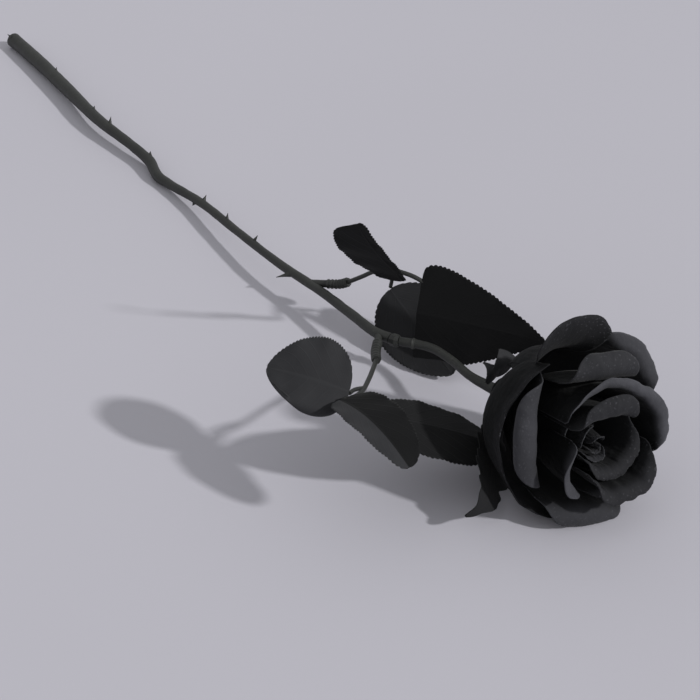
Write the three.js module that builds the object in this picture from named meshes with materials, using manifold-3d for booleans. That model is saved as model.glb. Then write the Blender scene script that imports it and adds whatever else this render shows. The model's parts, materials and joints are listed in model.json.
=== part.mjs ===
// An artificial black rose lying on a table, as an assembly of its separate pieces.
// Millimetres, +Z up. +X runs from the cut end of the stem to the flower.
import * as THREE from 'three';
import Module from 'manifold-3d';
import { mergeVertices } from 'three/addons/utils/BufferGeometryUtils.js';

const wasm = await Module();
wasm.setup();

// Clearance left between pieces that are glued or plugged together.
const GAP = 0.3;

// Main stem: centre points [x, y, z] with the stem's radius there, from the cut end to the joint.
const STEM_SIDES = 10;
const STEM_STATIONS = [
  { at: [-354, 10, 3.9], radius: 4.1 },
  { at: [-347, 10, 3.9], radius: 3.9 },
  { at: [-318, 8.9, 4.5], radius: 3.85 },
  { at: [-277, 6, 5.4], radius: 3.5 },
  { at: [-237, 2.8, 6.8], radius: 2.9 },
  { at: [-207, 4.5, 6.2], radius: 2.5 },
  { at: [-189, 5.3, 4.6], radius: 2.8 },
  { at: [-176, 2.6, 3.1], radius: 2.7 },
  { at: [-165, 3.2, 3.5], radius: 2.35 },
  { at: [-137, 4.7, 6.3], radius: 2.1 },
  { at: [-98, 3.1, 9.3], radius: 1.95 },
  { at: [-61, 2.3, 11.8], radius: 2 },
  { at: [-30, 4.2, 13.2], radius: 2.1 },
  { at: [-7, 4.6, 14], radius: 2.2 },
  { at: [13, 4.9, 14.7], radius: 2.3 },
  { at: [20.6, 7.2, 15.1], radius: 2.4 },
];

// Thorns and stubs on the stem: where along the stem, which way they point, how long, how thick.
const THORN_SINK = 1.2;
const THORNS = [
  { x: -300, toward: [-0.3, 0.55, 0.8], height: 1.6, radius: 1.7 },
  { x: -246, toward: [-0.2, 0.5, 0.85], height: 1.5, radius: 1.4 },
  { x: -228, toward: [-0.35, 0.45, 0.8], height: 3.4, radius: 1.3 },
  { x: -190, toward: [-0.5, 0.5, 0.7], height: 2.2, radius: 1.8 },
  { x: -141, toward: [0, -0.6, -0.6], height: 1.3, radius: 1.5 },
  { x: -135, toward: [-0.1, 0.6, 0.8], height: 2.6, radius: 1.3 },
  { x: -112, toward: [-0.1, 0.3, 0.9], height: 2.6, radius: 1 },
  { x: -86, toward: [0.3, 0.4, 0.85], height: 3, radius: 1 },
  { x: -50, toward: [-0.5, -0.8, -0.25], height: 6, radius: 1.5 },
];

// Burrs left at the cut end.
const BURRS = [
  { side: 2.6, up: -1.2, length: 3.6, radius: 1.3 },
  { side: -1.5, up: 2.4, length: 4.2, radius: 1.4 },
];

// Neck: the flower's own thinner stalk, plugged into the joint.
const NECK_SIDES = 8;
const NECK_STATIONS = [
  { at: [25.2, 8.9, 15.6], radius: 2 },
  { at: [29.4, 11.6, 16.1], radius: 2 },
  { at: [30.4, 12.2, 16.2], radius: 2.5 },
  { at: [31.4, 12.8, 16.4], radius: 1.95 },
  { at: [39, 16, 17.2], radius: 1.9 },
  { at: [51, 16.8, 18], radius: 1.85 },
  { at: [67, 15.2, 19.6], radius: 1.9 },
  { at: [82.5, 16.5, 21.3], radius: 2.5 },
];

// Joint bead: the collar between the stem's top and the neck.
const BEAD_RADIUS = 3;
const BEAD_FLAT_RADIUS = 2.4;
const BEAD_BULGE_AT = 0.3;

// Flower head: its base, its axis and how far its petals reach.
const HEAD_BASE = new THREE.Vector3(89.4, 16.6, 22.6);
const HEAD_TILT = THREE.MathUtils.degToRad(10.5);
const ROOT_HEIGHT = 15;
const ROOT_INNER_RADIUS = 3.2;
const ROOT_OUTER_RADIUS = 8.4;
const RIM_INNER_HEIGHT = 59;
const RIM_DROP = 14.5;
const RIM_INNER_RADIUS = 3;
const RIM_SPREAD = 30;
const RIM_LEAN = 9;
const LEAN_ANGLE = THREE.MathUtils.degToRad(-45);
const SAG = 0.11;

// A layer's line: the angle it leaves its root and reaches its rim, how stiffly, and where its lip starts.
// The first value is the bud's, the second what the outermost layer adds.
const LEAVE_ANGLE = [5, 33];
const LEAVE_PULL = [18, 6];
const ARRIVE_ANGLE = [-10, 24];
const ARRIVE_PULL = 20;
const LIP_START = 0.82;

// Petals are narrower at the root, and their corners are rounded off.
const PETAL_THICKNESS = 0.5;
const TABLE_EASE = 0.4;
const WALL_ROWS = 4;
const LIP_ROWS = 3;
const LEAST_COLUMNS = 8;
const MOST_COLUMNS = 20;
const DEGREES_PER_COLUMN = 8;
const ROOT_WIDTH = 0.62;
const FULL_WIDTH_AT = 0.55;
const CORNER_DROP = 0.22;

// Petals: bearing round the head's axis, half width in degrees, depth (0 is the bud's middle and
// 1 the outermost layer), how the depth turns in a spiral over the width, how much deeper both sides
// stand, how far the rim is raised, its lip's length and turn, and the reach where it is cut short.
const PETALS = [
  { name: 'outer_petal_top', bearing: 89, half: 21, depth: 1.1, spiral: 0.02, bow: 0.02,
    lift: 3, lip: 12, roll: 85 },
  { name: 'outer_petal_right', bearing: 39, half: 28, depth: 1, spiral: 0, bow: 0.05,
    lift: -2, lip: 9, roll: 134 },
  { name: 'outer_petal_far', bearing: 326, half: 37, depth: 0.9, spiral: 0.05, bow: 0,
    lift: -6, lip: 9, roll: 120 },
  { name: 'outer_petal_bottom', bearing: 254, half: 33, depth: 0.81, spiral: -0.05, bow: 0.21,
    lift: 2.2, lip: 13.5, roll: 130 },
  { name: 'outer_petal_left', bearing: 158, half: 46, depth: 0.97, spiral: 0, bow: 0.02,
    reach: 0.9, lift: -1, lip: 12, roll: 25 },
  { name: 'second_petal_left', bearing: 161, half: 50, depth: 0.67, spiral: 0.03, bow: 0.2,
    lift: 3, lip: 14.5, roll: 175 },
  { name: 'second_petal_top', bearing: 77, half: 32, depth: 0.69, spiral: 0.03, bow: 0.1,
    lift: 7, lip: 14.4, roll: 158 },
  { name: 'second_petal_right', bearing: 57, half: 77, depth: 0.645, spiral: 0.07, bow: -0.04,
    lift: 11, lip: 6.3, roll: 143 },
  { name: 'second_petal_bottom', bearing: 281, half: 72, depth: 0.475, spiral: -0.117, bow: -0.04,
    lift: 9.9, lip: 8.8, roll: 103 },
  { name: 'third_petal_far', bearing: 300, half: 38, depth: 0.72, spiral: 0.04, bow: 0,
    lift: -3, lip: 8, roll: 100 },
  { name: 'third_petal_left', bearing: 194, half: 43, depth: 0.47, spiral: -0.158, bow: 0,
    lift: 6.7, lip: 10.4, roll: 81 },
  { name: 'inner_petal_top', bearing: 91, half: 46, depth: 0.37, spiral: -0.03, bow: 0.06,
    lift: 12, lip: 11, roll: 150 },
  { name: 'inner_petal_left', bearing: 140, half: 38, depth: 0.22, spiral: 0, bow: 0,
    lift: -8, lip: 3, roll: 20 },
  { name: 'inner_petal_far', bearing: 275, half: 32, depth: 0.3, spiral: 0, bow: 0,
    lift: -2, lip: 3, roll: 20 },
  { name: 'bud_petal_right', bearing: 287, half: 105, depth: 0.207, spiral: -0.148, bow: 0.136,
    lift: 1.8, lip: 8, roll: 115 },
  { name: 'bud_petal_left', bearing: 130, half: 58, depth: 0.12, spiral: 0.01, bow: 0,
    lift: -4, lip: 4, roll: 40 },
  { name: 'bud_petal_bottom', bearing: 260, half: 70, depth: 0.1, spiral: 0.01, bow: 0,
    lift: -4, lip: 4, roll: 40 },
  { name: 'bud_wrap_top', bearing: 80, half: 80, depth: 0.01, spiral: 0.01, bow: 0,
    lift: -4, lip: 3, roll: 30 },
  { name: 'bud_wrap_bottom', bearing: 260, half: 80, depth: 0.01, spiral: 0.01, bow: 0,
    lift: -5, lip: 3, roll: 30 },
  { name: 'bud_roll', bearing: 130, half: 172, depth: -0.075, spiral: 0.01, bow: 0,
    lift: -5, lip: 3, roll: 20 },
];

// Core that the petals are glued to, in the middle of the head.
const CORE_TOP = 38;
const CORE_TIP_RADIUS = 2.1;
const CORE_SIDES = 12;

// Calyx: cup under the petals with five sepals. Bearing, depth as for the petals, length, half width
// and how far they bend away.
const CUP_LENGTH = 5.2;
const CUP_FOOT_RADIUS = 2.7;
const CUP_RIM_RADIUS = 7.4;
const SEPAL_REACH = 62;
const SEPAL_ROWS = 6;
const SEPAL_HALF_COLUMNS = 1;
const SEPAL_TIP_HALF = 0.6;
const SEPAL_LINE = { lift: -2, lip: 12, roll: 60 };
const SEPALS = [
  { bearing: 58, depth: 1.26, length: 10, half: 4, bend: 105 },
  { bearing: 112, depth: 1.2, length: 8, half: 3.5, bend: 110 },
  { bearing: 212, depth: 1.12, length: 62, half: 6.5, bend: 12 },
  { bearing: 282, depth: 1.2, length: 38, half: 4.5, bend: 2 },
  { bearing: 345, depth: 1.1, length: 34, half: 5, bend: 6 },
];

// Leaf stalks: a short stub on the stem, a sleeve plugged to it, then a thin forked stalk.
const STALK_SIDES = 6;
const STUB_RADIUS = 1.7;
const SLEEVE_RADIUS = 2;
const STALK_RADIUS = 1.1;
const UPPER_STALK = {
  stub: [[-38.5, 3.8, 12.9], [-30.4, 8.2, 15.3]],
  sleeve: [[-24.6, 11.3, 17.2], [-20.4, 13, 20]],
  stalk: [[-13, 15.4, 26], [-7, 17.4, 31], [1.9, 19.6, 36], [8.5, 20.4, 38],
    [14, 20, 33.5], [15.8, 18, 27.5], [19.2, 18.6, 24.9]],
  branches: [
    [[3.4, 19.8, 36.5], [0.5, 21.8, 29.5], [-2, 22.8, 23.8]],
    [[5.2, 20, 37.4], [10, 18.6, 38.6], [14.2, 17.4, 39]],
  ],
};
const LOWER_STALK = {
  stub: [[14.5, 5.4, 14.6], [20, 0.8, 15.4]],
  sleeve: [[27.2, -5.2, 17], [36, -11, 20]],
  stalk: [[58, -30, 31], [70, -41.5, 37], [75.5, -49, 40.6], [78.7, -56.1, 44]],
  branches: [
    [[67, -38.6, 35.6], [70, -45, 39.2], [73.4, -49.8, 41.5]],
    [[73, -45.4, 39], [80, -52.4, 40.2], [86.8, -53.2, 41]],
  ],
};

// Leaflets: base and tip points, a point toward one edge, width, where along the length they are
// widest, fold of the two halves, sag of the midrib, twist from base to tip, how far the tip curls.
const LEAF_THICKNESS = 0.5;
const LEAF_BASE_WIDTH = 1.6;
const LEAF_FULLNESS = 1.35;
const TOOTH_DEPTH = 1;
const TOOTH_LEAN = 0.7;
const TEETH = 14;
const LEAF_COLUMNS = 4;
const LEAFLETS = [
  { name: 'upper_leaflet_side', base: [13.4, 15.4, 39.4], tip: [18, -16, 73.5], edge: [26.2, 25.3, 43.6],
    width: 19, widest: 0.62, fold: 2, sag: 0, twist: 20, curl: 5 },
  { name: 'upper_leaflet_end', base: [20, 19, 24.9], tip: [77.2, 46, 26], edge: [58, 28, 9],
    width: 30, widest: 0.4, fold: 5, sag: 2, twist: 0, curl: 0 },
  { name: 'upper_leaflet_low', base: [-2, 22.6, 22.4], tip: [44.9, 22.5, 4.5], edge: [-4.9, 10, 14.6],
    width: 33, widest: 0.4, fold: 3, sag: 1, twist: 0, curl: 0 },
  { name: 'lower_leaflet_side', base: [74.3, -50.6, 43], tip: [53.5, -75, 52], edge: [73, -63.5, 40],
    width: 28, widest: 0.4, fold: 4, sag: 3, twist: 0, curl: 0 },
  { name: 'lower_leaflet_end', base: [78.8, -56.8, 45], tip: [128.5, -53, 40], edge: [81, -75, 43.5],
    width: 25, widest: 0.38, fold: -34, sag: 1, twist: 0, curl: 0 },
  { name: 'lower_leaflet_near', base: [87.9, -52.5, 41], tip: [97, -7.5, 18.6], edge: [100, -61, 41],
    width: 25, widest: 0.4, fold: 8, sag: -2, twist: 0, curl: 0 },
];

const stemMaterial = new THREE.MeshStandardMaterial({ color: 0x383a38, roughness: 0.6, metalness: 0 });
const petalMaterial = new THREE.MeshStandardMaterial({ color: 0x2d2d32, roughness: 0.9, metalness: 0 });
const leafMaterial = new THREE.MeshStandardMaterial({ color: 0x222325, roughness: 0.85, metalness: 0 });

const vector = (point) => new THREE.Vector3(...point);

// Turns a closed geometry into a solid that can be joined or cut.
function toSolid(geometry) {
  const bare = geometry.clone();
  bare.deleteAttribute('normal');
  bare.deleteAttribute('uv');
  const merged = mergeVertices(bare, 1e-4);
  const mesh = new wasm.Mesh({
    numProp: 3,
    vertProperties: new Float32Array(merged.attributes.position.array),
    triVerts: new Uint32Array(merged.index.array),
  });
  return new wasm.Manifold(mesh);
}

function fromSolid(solid) {
  const mesh = solid.getMesh();
  const geometry = new THREE.BufferGeometry();
  geometry.setAttribute('position', new THREE.BufferAttribute(new Float32Array(mesh.vertProperties), 3));
  geometry.setIndex(new THREE.BufferAttribute(new Uint32Array(mesh.triVerts), 1));
  geometry.computeVertexNormals();
  return geometry;
}

function join(geometries) {
  const solids = geometries.map(toSolid);
  return fromSolid(solids.reduce((whole, solid) => whole.add(solid)));
}

const lineThrough = (stations) => new THREE.CatmullRomCurve3(stations.map((s) => vector(s.at)), false, 'centripetal');

// Round bar along a smooth line through the stations, with each station's own radius.
function taperedBar(stations, sides, stepsPerSpan) {
  const path = lineThrough(stations);
  const spans = stations.length - 1;
  const steps = spans * stepsPerSpan;
  const positions = [];
  const index = [];
  for (let i = 0; i <= steps; i += 1) {
    const centre = path.getPoint(i / steps);
    const along = path.getTangent(i / steps);
    const side = new THREE.Vector3(0, 0, 1).cross(along).normalize();
    const up = along.clone().cross(side);
    const span = Math.min(spans - 1, Math.floor(i / stepsPerSpan));
    const radius = THREE.MathUtils.lerp(stations[span].radius, stations[span + 1].radius, i / stepsPerSpan - span);
    for (let k = 0; k < sides; k += 1) {
      const angle = (2 * Math.PI * k) / sides;
      const point = centre.clone();
      point.addScaledVector(side, radius * Math.cos(angle));
      point.addScaledVector(up, radius * Math.sin(angle));
      positions.push(point.x, point.y, point.z);
      if (i > 0) {
        const here = i * sides + k;
        const next = i * sides + ((k + 1) % sides);
        index.push(here - sides, next - sides, here, here, next - sides, next);
      }
    }
  }
  for (let k = 1; k < sides - 1; k += 1) {
    index.push(0, k + 1, k);
    index.push(steps * sides, steps * sides + k, steps * sides + k + 1);
  }
  const geometry = new THREE.BufferGeometry();
  geometry.setAttribute('position', new THREE.Float32BufferAttribute(positions, 3));
  geometry.setIndex(index);
  return geometry;
}

// Cone whose foot is sunk into the surface at a point, pointing along a direction.
function spike(foot, toward, height, radius) {
  const cone = new THREE.ConeGeometry(radius, height + THORN_SINK, 6);
  cone.translate(0, (height + THORN_SINK) / 2 - THORN_SINK, 0);
  cone.applyQuaternion(new THREE.Quaternion().setFromUnitVectors(new THREE.Vector3(0, 1, 0), toward));
  cone.translate(foot.x, foot.y, foot.z);
  return cone;
}

// Sheet of one thickness on both sides of an open surface of triangles.
function thicken(points, triangles, thickness) {
  const sheet = new THREE.BufferGeometry().setFromPoints(points);
  sheet.setIndex(triangles.flat());
  sheet.computeVertexNormals();
  const normal = sheet.attributes.normal;
  const positions = [];
  for (const side of [1, -1]) {
    points.forEach((point, i) => {
      const offset = (side * thickness) / 2;
      positions.push(
        point.x + normal.getX(i) * offset,
        point.y + normal.getY(i) * offset,
        point.z + normal.getZ(i) * offset,
      );
    });
  }
  const count = points.length;
  const edges = new Set(triangles.flatMap(([a, b, c]) => [`${a},${b}`, `${b},${c}`, `${c},${a}`]));
  const index = [];
  for (const [a, b, c] of triangles) {
    index.push(a, b, c, a + count, c + count, b + count);
    for (const [from, to] of [[a, b], [b, c], [c, a]]) {
      if (!edges.has(`${to},${from}`)) {
        index.push(from, from + count, to, to, from + count, to + count);
      }
    }
  }
  const geometry = new THREE.BufferGeometry();
  geometry.setAttribute('position', new THREE.Float32BufferAttribute(positions, 3));
  geometry.setIndex(index);
  geometry.computeVertexNormals();
  return geometry;
}

// Radius of the stem and its centre at one place along X.
function stemAt(x) {
  const next = Math.max(1, STEM_STATIONS.findIndex((s) => s.at[0] >= x));
  const a = STEM_STATIONS[next - 1];
  const b = STEM_STATIONS[next];
  const share = (x - a.at[0]) / (b.at[0] - a.at[0]);
  return {
    centre: vector(a.at).lerp(vector(b.at), share),
    radius: THREE.MathUtils.lerp(a.radius, b.radius, share),
  };
}

function mainStem() {
  const pieces = [taperedBar(STEM_STATIONS, STEM_SIDES, 2)];
  for (const thorn of THORNS) {
    const { centre, radius } = stemAt(thorn.x);
    const toward = vector(thorn.toward).normalize();
    pieces.push(spike(centre.addScaledVector(toward, radius * 0.85), toward, thorn.height, thorn.radius));
  }
  const end = STEM_STATIONS[0];
  for (const burr of BURRS) {
    const foot = vector(end.at).add(new THREE.Vector3(0, burr.side, burr.up));
    pieces.push(spike(foot, new THREE.Vector3(-1, 0.05, 0.05).normalize(), burr.length, burr.radius));
  }
  for (const { stub } of [UPPER_STALK, LOWER_STALK]) {
    pieces.push(taperedBar(stub.map((at) => ({ at, radius: STUB_RADIUS })), STALK_SIDES, 1));
  }
  return join(pieces);
}

// Rounded collar that fills the space between the stem's top and the neck's foot.
function jointBead() {
  const stemLine = lineThrough(STEM_STATIONS);
  const neckLine = lineThrough(NECK_STATIONS);
  const from = stemLine.getPoint(1).addScaledVector(stemLine.getTangent(1), GAP);
  const to = neckLine.getPoint(0).addScaledVector(neckLine.getTangent(0), -GAP);
  const bulge = from.distanceTo(to) * BEAD_BULGE_AT;
  return taperedBar([
    { at: from.toArray(), radius: BEAD_FLAT_RADIUS },
    { at: from.clone().addScaledVector(stemLine.getTangent(1), bulge).toArray(), radius: BEAD_RADIUS },
    { at: to.clone().addScaledVector(neckLine.getTangent(0), -bulge).toArray(), radius: BEAD_RADIUS },
    { at: to.toArray(), radius: BEAD_FLAT_RADIUS },
  ], STEM_SIDES, 1);
}

// Sleeve and stalk that start one gap beyond the stub, with side branches to the other leaflets.
function leafStalk(spec) {
  const stubEnd = vector(spec.stub[1]);
  const toward = vector(spec.sleeve[0]).sub(stubEnd).normalize();
  const start = stubEnd.clone().addScaledVector(toward, GAP).toArray();
  const sleeve = [start, ...spec.sleeve].map((at) => ({ at, radius: SLEEVE_RADIUS }));
  const stalk = spec.stalk.map((at) => ({ at, radius: STALK_RADIUS }));
  const branches = spec.branches.map((branch) => branch.map((at) => ({ at, radius: STALK_RADIUS * 0.85 })));
  return join([
    taperedBar([...sleeve, ...stalk], STALK_SIDES, 2),
    ...branches.map((stations) => taperedBar(stations, STALK_SIDES, 2)),
  ]);
}

const headAxis = new THREE.Vector3(Math.cos(HEAD_TILT), 0, Math.sin(HEAD_TILT));
const headSide = new THREE.Vector3(0, 1, 0);
const headUp = headAxis.clone().cross(headSide);

const inLayer = ([bud, added], depth) => bud + added * depth;

// Height along the head's axis and distance from it, for one layer's line from root to lip.
function meridian(depth, t, bearing, { lift, lip, roll }) {
  const lean = RIM_LEAN * depth * Math.cos(bearing - LEAN_ANGLE);
  const root = new THREE.Vector2(
    ROOT_HEIGHT * (1 - depth),
    THREE.MathUtils.lerp(ROOT_INNER_RADIUS, ROOT_OUTER_RADIUS, depth),
  );
  const rim = new THREE.Vector2(
    RIM_INNER_HEIGHT - RIM_DROP * depth + lean + lift,
    RIM_INNER_RADIUS + RIM_SPREAD * depth,
  );
  const leave = THREE.MathUtils.degToRad(inLayer(LEAVE_ANGLE, depth));
  const arrive = THREE.MathUtils.degToRad(inLayer(ARRIVE_ANGLE, depth));
  const pull = inLayer(LEAVE_PULL, depth);
  const bow = new THREE.CubicBezierCurve(
    root,
    new THREE.Vector2(root.x + pull * Math.cos(leave), root.y + pull * Math.sin(leave)),
    new THREE.Vector2(rim.x - ARRIVE_PULL * Math.cos(arrive), rim.y - ARRIVE_PULL * Math.sin(arrive)),
    rim,
  );
  if (t <= LIP_START) {
    return bow.getPoint(t / LIP_START);
  }
  const curl = THREE.MathUtils.degToRad(roll) / lip;
  const angle = arrive + (curl * lip * (t - LIP_START)) / (1 - LIP_START);
  return new THREE.Vector2(
    rim.x + (Math.sin(angle) - Math.sin(arrive)) / curl,
    rim.y + (Math.cos(arrive) - Math.cos(angle)) / curl,
  );
}

// Point of the head at a height along its axis, a radius and a bearing, squashed a little underneath.
function headPoint(height, radius, bearing) {
  const squashed = radius * (1 + SAG * Math.sin(bearing));
  const point = HEAD_BASE.clone().addScaledVector(headAxis, height);
  point.addScaledVector(headSide, squashed * Math.cos(bearing));
  return point.addScaledVector(headUp, squashed * Math.sin(bearing));
}

// Turns a lathe profile of radius and height into a solid on the head's axis.
function headLathe(profile, sides) {
  const geometry = new THREE.LatheGeometry(profile.map(([radius, height]) => new THREE.Vector2(radius, height)), sides);
  const place = geometry.attributes.position;
  for (let i = 0; i < place.count; i += 1) {
    const bearing = Math.atan2(place.getX(i), place.getZ(i));
    const point = headPoint(place.getY(i), Math.hypot(place.getX(i), place.getZ(i)), bearing);
    place.setXYZ(i, point.x, point.y, point.z);
  }
  return geometry;
}

function budCore() {
  const seat = PETAL_THICKNESS / 2 + GAP;
  return headLathe([
    [0, 0],
    [ROOT_OUTER_RADIUS - seat, 0],
    [ROOT_INNER_RADIUS - seat, ROOT_HEIGHT],
    [CORE_TIP_RADIUS, ROOT_HEIGHT * 1.2],
    [CORE_TIP_RADIUS, CORE_TOP - CORE_TIP_RADIUS],
    [0, CORE_TOP],
  ], CORE_SIDES);
}

// Leaf of the calyx: it lies along the petals' backs, or bends away from them where it is short.
function sepal(spec) {
  const columns = 2 * SEPAL_HALF_COLUMNS;
  const points = [];
  const triangles = [];
  const centre = THREE.MathUtils.degToRad(spec.bearing);
  const bend = THREE.MathUtils.degToRad(spec.bend);
  for (let j = 0; j <= SEPAL_ROWS; j += 1) {
    const share = j / SEPAL_ROWS;
    const along = meridian(spec.depth, (share * spec.length) / SEPAL_REACH, centre, SEPAL_LINE);
    const root = meridian(spec.depth, 0, centre, SEPAL_LINE);
    const place = along.sub(root).rotateAround(new THREE.Vector2(), bend * share ** 2).add(root);
    if (j === 0) {
      place.set(-CUP_LENGTH / 2, CUP_RIM_RADIUS * 0.82);
    }
    const half = SEPAL_TIP_HALF + spec.half * Math.sin(Math.PI * (0.22 + 0.78 * share)) ** 0.8;
    for (let i = 0; i <= columns; i += 1) {
      const across = (2 * i) / columns - 1;
      const bearing = centre + (across * half) / Math.max(place.y, CUP_RIM_RADIUS);
      points.push(onTable(headPoint(place.x, place.y, bearing), PETAL_THICKNESS));
      if (i > 0 && j > 0) {
        const here = j * (columns + 1) + i;
        const below = here - columns - 1;
        triangles.push([below - 1, here - 1, here], [below - 1, here, below]);
      }
    }
  }
  return thicken(points, triangles, PETAL_THICKNESS);
}

function calyx() {
  const rim = -PETAL_THICKNESS / 2 - GAP;
  const cup = headLathe([
    [0, rim - CUP_LENGTH],
    [CUP_FOOT_RADIUS, rim - CUP_LENGTH],
    [CUP_RIM_RADIUS * 0.85, rim - CUP_LENGTH * 0.45],
    [CUP_RIM_RADIUS, rim],
    [0, rim],
  ], CORE_SIDES);
  return join([cup, ...SEPALS.map(sepal)]);
}

// Keeps a sheet's middle at least half its thickness above the table, without a hard edge.
function onTable(point, thickness) {
  const low = thickness / 2;
  const over = point.z - low;
  point.z = low + (over + Math.hypot(over, TABLE_EASE)) / 2;
  return point;
}

// Share of a petal's line at one of its rows: its lip has rows of its own.
function rowShare(row) {
  if (row <= WALL_ROWS) {
    return (LIP_START * row) / WALL_ROWS;
  }
  return LIP_START + ((1 - LIP_START) * (row - WALL_ROWS)) / LIP_ROWS;
}

function petal(spec) {
  const { reach = 1 } = spec;
  const wanted = 2 * Math.round(spec.half / DEGREES_PER_COLUMN / 2);
  const columns = THREE.MathUtils.clamp(wanted, LEAST_COLUMNS, MOST_COLUMNS);
  const points = [];
  const triangles = [];
  const centre = THREE.MathUtils.degToRad(spec.bearing);
  const half = THREE.MathUtils.degToRad(spec.half);
  for (let j = 0; j <= WALL_ROWS + LIP_ROWS; j += 1) {
    for (let i = 0; i <= columns; i += 1) {
      const across = (2 * i) / columns - 1;
      const t = reach * (1 - CORNER_DROP * Math.abs(across) ** 3) * rowShare(j);
      const spread = ROOT_WIDTH + (1 - ROOT_WIDTH) * THREE.MathUtils.smoothstep(t, 0, FULL_WIDTH_AT);
      const depth = spec.depth + (spec.bow * across - spec.spiral) * across * spread;
      const bearing = centre + half * spread * across;
      const place = meridian(depth, t, bearing, spec);
      points.push(onTable(headPoint(place.x, place.y, bearing), PETAL_THICKNESS));
      if (i > 0 && j > 0) {
        const here = j * (columns + 1) + i;
        const below = here - columns - 1;
        triangles.push([below - 1, here - 1, here], [below - 1, here, below]);
      }
    }
  }
  return thicken(points, triangles, PETAL_THICKNESS);
}

// Ovate leaf with saw teeth, folded a little along its midrib and bent along its length.
function leaflet(spec) {
  const base = vector(spec.base);
  const along = vector(spec.tip).sub(base);
  const length = along.length();
  along.normalize();
  const toEdge = vector(spec.edge).sub(base);
  const normal = along.clone().cross(toEdge).normalize();
  const side = normal.clone().cross(along);
  const fold = THREE.MathUtils.degToRad(spec.fold);
  const twist = THREE.MathUtils.degToRad(spec.twist);
  const bulge = (v) => (v / spec.widest) ** spec.widest * ((1 - v) / (1 - spec.widest)) ** (1 - spec.widest);
  const halfWidth = (v) => (LEAF_BASE_WIDTH + spec.width * bulge(v) ** LEAF_FULLNESS) / 2;
  const place = (offset, v) => {
    const turn = twist * (v - 0.5) + Math.sign(offset) * fold;
    const rise = 4 * spec.sag * v * (1 - v) + spec.curl * Math.max(0, 2 * v - 1) ** 2;
    const point = base.clone().addScaledVector(along, length * v);
    point.addScaledVector(side, offset * Math.cos(turn));
    return point.addScaledVector(normal, offset * Math.sin(turn) + rise);
  };
  const points = [];
  const triangles = [];
  const columns = LEAF_COLUMNS;
  for (let j = 0; j <= TEETH; j += 1) {
    const v = j / TEETH;
    for (let i = 0; i <= columns; i += 1) {
      points.push(place(((2 * i) / columns - 1) * halfWidth(v), v));
      if (i > 0 && j > 0) {
        const here = j * (columns + 1) + i;
        const below = here - columns - 1;
        triangles.push([below - 1, here - 1, here], [below - 1, here, below]);
      }
    }
  }
  for (let j = 0; j < TEETH; j += 1) {
    const v = (j + TOOTH_LEAN) / TEETH;
    const left = j * (columns + 1);
    const right = left + columns;
    points.push(place(-halfWidth(v) - TOOTH_DEPTH, v));
    triangles.push([left, points.length - 1, left + columns + 1]);
    points.push(place(halfWidth(v) + TOOTH_DEPTH, v));
    triangles.push([right, right + columns + 1, points.length - 1]);
  }
  return thicken(points, triangles, LEAF_THICKNESS);
}

const rose = new THREE.Group();

function add(name, geometry, material) {
  const mesh = new THREE.Mesh(geometry, material);
  mesh.name = name;
  rose.add(mesh);
  return mesh;
}

add('main_stem', mainStem(), stemMaterial);
add('joint_bead', jointBead(), stemMaterial);
add('neck', taperedBar(NECK_STATIONS, NECK_SIDES, 2), stemMaterial);
add('upper_leaf_stalk', leafStalk(UPPER_STALK), stemMaterial);
add('lower_leaf_stalk', leafStalk(LOWER_STALK), stemMaterial);
add('calyx', calyx(), leafMaterial);
add('bud_core', budCore(), petalMaterial);
for (const spec of PETALS) {
  add(spec.name, petal(spec), petalMaterial);
}
for (const spec of LEAFLETS) {
  add(spec.name, leaflet(spec), leafMaterial);
}

// The origin lies under the middle of the rose, on the table.
const box = new THREE.Box3().setFromObject(rose);
const middle = box.getCenter(new THREE.Vector3());
rose.position.set(-middle.x, -middle.y, -box.min.z);

export default rose;
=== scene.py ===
import bpy
import json
import math
from mathutils import Matrix, Vector


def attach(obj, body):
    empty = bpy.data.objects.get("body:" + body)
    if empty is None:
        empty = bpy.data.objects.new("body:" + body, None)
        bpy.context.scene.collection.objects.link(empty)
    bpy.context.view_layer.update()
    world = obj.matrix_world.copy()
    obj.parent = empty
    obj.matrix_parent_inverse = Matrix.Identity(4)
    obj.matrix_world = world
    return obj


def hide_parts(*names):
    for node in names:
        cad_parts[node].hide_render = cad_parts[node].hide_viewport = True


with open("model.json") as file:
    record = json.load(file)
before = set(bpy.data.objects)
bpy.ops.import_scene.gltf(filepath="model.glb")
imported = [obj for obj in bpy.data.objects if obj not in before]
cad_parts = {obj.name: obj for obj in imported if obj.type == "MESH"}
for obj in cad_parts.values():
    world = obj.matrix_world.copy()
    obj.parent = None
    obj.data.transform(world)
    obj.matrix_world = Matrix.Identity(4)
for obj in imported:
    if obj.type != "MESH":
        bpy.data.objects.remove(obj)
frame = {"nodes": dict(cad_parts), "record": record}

# A black artificial rose lying on a pale table: cloth petals and leaves on a moulded stem.
# Shapes are worked out in millimetres from the floor point that the camera looks at.
mm = 0.001
radian = math.pi / 180
cutPlace = (-354, 10, 3.9)  # middle of the stem's cut end
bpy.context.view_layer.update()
cutEnd = Vector(frame["record"]["mounts"][0]["pos_m"])
centre = cutEnd - Vector(cutPlace) * mm


# One method makes any node: its settings come first, then the values or links of its sockets.
def addNode(tree, kind, settings=None, values=None):
    made = tree.nodes.new(kind)
    for key, value in (settings or {}).items():
        setattr(made, key, value)
    for key, value in (values or {}).items():
        if isinstance(value, Value):
            tree.links.new(value.socket, made.inputs[key])
        else:
            made.inputs[key].default_value = value
    return made


# The same, for a node of which only the first output is used.
def nodeValue(tree, kind, settings=None, values=None):
    return Value(addNode(tree, kind, settings, values).outputs[0])


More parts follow.
